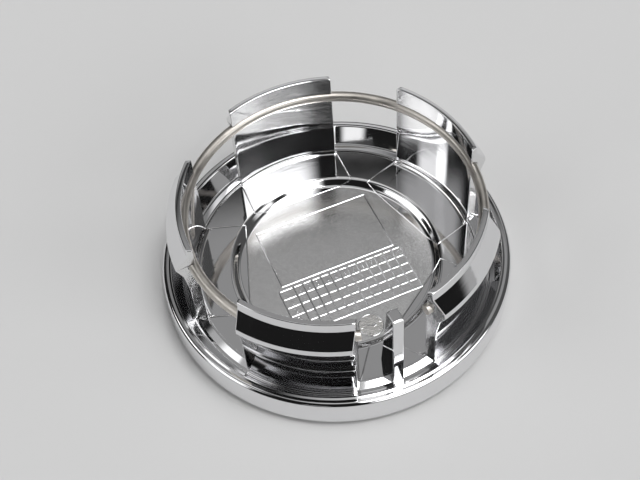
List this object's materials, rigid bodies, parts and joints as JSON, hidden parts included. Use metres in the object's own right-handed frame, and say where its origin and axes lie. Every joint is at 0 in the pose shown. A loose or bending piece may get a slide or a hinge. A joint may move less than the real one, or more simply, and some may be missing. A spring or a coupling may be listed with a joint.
{
  "type": "wheel centre cap",
  "caption": "Round chromed centre cap for a road wheel: a shallow dished disc with hooked snap legs, a locating rib and a split spring-wire ring that presses the legs outwards.",
  "frame": {"origin": "centre of the show face, on the surface that the cap lies on", "axes": "+Z along the cap's axis, from the show face towards the tips of the legs; -Y through the locating rib"},
  "size_m": [0.054, 0.054, 0.0213],
  "materials": {
    "chrome_plating": "mirror-bright chrome plating over a plastic moulding, grainy on the ends and tops of the legs",
    "spring_steel": "drawn spring wire, satin"
  },
  "bodies": {
    "root": {"cap_body": "chrome_plating", "spring_ring": "spring_steel"}
  },
  "joints": []
}
